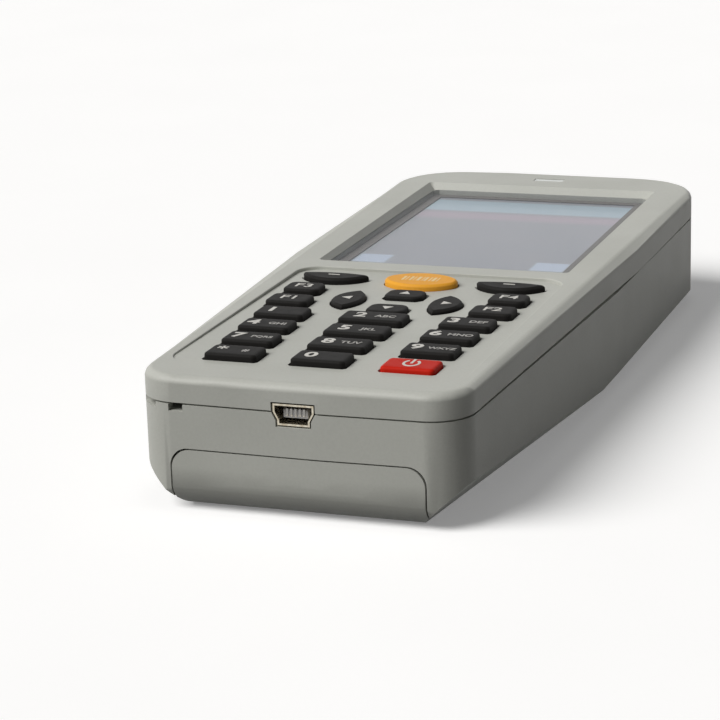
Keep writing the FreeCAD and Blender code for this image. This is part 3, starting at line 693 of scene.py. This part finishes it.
def socket_pins():
    # Strips that come forward along the tongue and turn down over its front
    low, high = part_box("socket_contacts")
    pitch = (high.x - low.x - PIN_WIDTH) / (PIN_COUNT - 1)
    half = Vector((PIN_WIDTH / 2, 0, 0))
    pins = []
    for n in range(PIN_COUNT):
        x = low.x + PIN_WIDTH / 2 + pitch * n
        pin = start_block(Vector((x, low.y, low.z)) - half, Vector((x, high.y, high.z)) + half)
        pick_faces(pin, lambda middle, normal: normal.y < -0.99)
        bpy.ops.mesh.extrude_region_move(TRANSFORM_OT_translate={"value": (0, -PIN_LEAD, 0)})
        pick_faces(pin, lambda middle, normal: normal.z < -0.99 and middle.y < low.y)
        bpy.ops.mesh.extrude_region_move(TRANSFORM_OT_translate={"value": (0, 0, -PIN_DROP)})
        pick_edges(pin, lambda a, b: abs(a.x - b.x) > NEAR and max(a.y, b.y) < low.y)
        bpy.ops.mesh.bevel(offset=PIN_ROUND, segments=2, affect="EDGES")
        pins.append(pin)
    only(pins[0])
    for pin in pins:
        pin.select_set(True)
    bpy.ops.object.join()
    smoothed(pins[0])
    finished(pins[0], "socket_pins", "pin_tin", "terminal")
    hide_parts("socket_contacts")


def lens_shade_border():
    # A dark border under the lens, painted shade of the bezel's sloped wall round the screen, with the
    # screen showing in its opening
    middle = (LENS_LOW + LENS_HIGH) / 2
    size = LENS_HIGH - LENS_LOW
    middle.z = LENS_LOW.z + SHADE_BORDER_THICKNESS
    deselect()
    bpy.ops.mesh.primitive_plane_add(size=1, location=middle)
    obj = bpy.context.active_object
    obj.scale = (size.x - 2 * SHADE_BORDER_MARGIN, size.y - 2 * SHADE_BORDER_MARGIN, 1)
    bpy.ops.object.transform_apply(location=True, rotation=True, scale=True)
    edit(obj, "FACE")
    bpy.ops.mesh.select_all(action="SELECT")
    bpy.ops.mesh.inset(thickness=SHADE_BORDER_WIDTH)
    bpy.ops.mesh.delete(type="FACE")
    applied(obj, "SOLIDIFY", thickness=SHADE_BORDER_THICKNESS, offset=0)
    finished(obj, "lens_shade_border", "mask_black", "terminal")


dress_frame()
shell("front_housing", "housing_top", "housing_grey", "terminal")
shell("rear_housing", "housing_back", "housing_grey", "terminal")
shell("battery_door", "door_shell", "housing_grey", "battery_door")
key_caps()
legends()
lens_shade_border()
socket_pins()


def aim_camera():
    # Fitted to the socket, the parting line and the keys in the photograph's 720 by 720 frame
    turn = 0.345
    lift = 0.278
    roll = -0.030
    distance = 420 * MM
    focal_pixels = 2430
    sensor = 36.0
    frame_pixels = 720
    target = Vector((12.87 * MM, END_Y, PARTING_Z + 10.44 * MM))
    back = Vector((math.sin(turn) * math.cos(lift), -math.cos(turn) * math.cos(lift), math.sin(lift)))
    right = Vector((math.cos(turn), math.sin(turn), 0))
    up = back.cross(right)
    rolled_right = right * math.cos(roll) + up * math.sin(roll)
    rolled_up = up * math.cos(roll) - right * math.sin(roll)
    camera = bpy.data.cameras.new("camera")
    camera.sensor_width = sensor
    camera.lens = focal_pixels * sensor / frame_pixels
    camera.clip_start = 0.01
    obj = bpy.data.objects.new("camera", camera)
    bpy.context.scene.collection.objects.link(obj)
    place = target + back * distance
    turned = Matrix((rolled_right, rolled_up, back)).transposed()
    obj.matrix_world = Matrix.Translation(place) @ turned.to_4x4()
    bpy.context.scene.camera = obj


def key_light():
    # A wide soft sun, so that the floor is lit alike all over
    light = bpy.data.lights.new("key_light", "SUN")
    light.energy = KEY_POWER
    light.angle = math.radians(KEY_WIDTH)
    light.color = (1.0, 0.99, 0.975)
    obj = bpy.data.objects.new("key_light", light)
    bpy.context.scene.collection.objects.link(obj)
    obj.rotation_euler = (-Vector(KEY_FROM)).to_track_quat("-Z", "Y").to_euler()


def studio():
    # A soft key light from the left and front, and a faint fill from all round
    key_light()
    world = bpy.data.worlds.new("studio")
    bpy.context.scene.world = world
    world.use_nodes = True
    tree = world.node_tree
    background = tree.nodes["Background"]
    tree.links.new(seen_directly(tree, FILL, 1.0), background.inputs["Strength"])
    background.inputs["Color"].default_value = (1, 1, 1, 1)


def seen_directly(tree, otherwise, seen):
    # One value for what the eye sees, also in gloss and through glass, and another for bounced light
    path = tree.nodes.new("ShaderNodeLightPath")
    first = tree.nodes.new("ShaderNodeMath")
    first.operation = "MAXIMUM"
    tree.links.new(path.outputs["Is Camera Ray"], first.inputs[0])
    tree.links.new(path.outputs["Is Glossy Ray"], first.inputs[1])
    second = tree.nodes.new("ShaderNodeMath")
    second.operation = "MAXIMUM"
    tree.links.new(first.outputs[0], second.inputs[0])
    tree.links.new(path.outputs["Is Transmission Ray"], second.inputs[1])
    mix = tree.nodes.new("ShaderNodeMix")
    mix.inputs["A"].default_value = otherwise
    mix.inputs["B"].default_value = seen
    tree.links.new(second.outputs[0], mix.inputs["Factor"])
    return mix.outputs["Result"]


def pale_floor():
    # Pale where it is seen, and darker for the light that it throws back on the object
    deselect()
    bpy.ops.mesh.primitive_plane_add(size=6, location=(0, 0, 0))
    floor = bpy.context.active_object
    floor.name = "floor"
    finish = Finish("pale_floor", roughness=0.9, specular=0.1)
    pale = finish.mix(finish.noise(50 * MM, 2), srgb(250, 250, 250), srgb(246, 246, 246))
    seen = Signal(finish, seen_directly(finish.tree, 0.0, 1.0))
    finish.colour(finish.mix(seen, srgb(72, 72, 72), pale))
    lift = finish.mix(seen, srgb(0, 0, 0), srgb(255, 255, 255))
    finish.link(lift, finish.shader.inputs["Emission Color"])
    finish.shader.inputs["Emission Strength"].default_value = FLOOR_LIFT
    floor.data.materials.append(finish.material)


aim_camera()
studio()
pale_floor()
bpy.context.scene.view_settings.view_transform = "Standard"
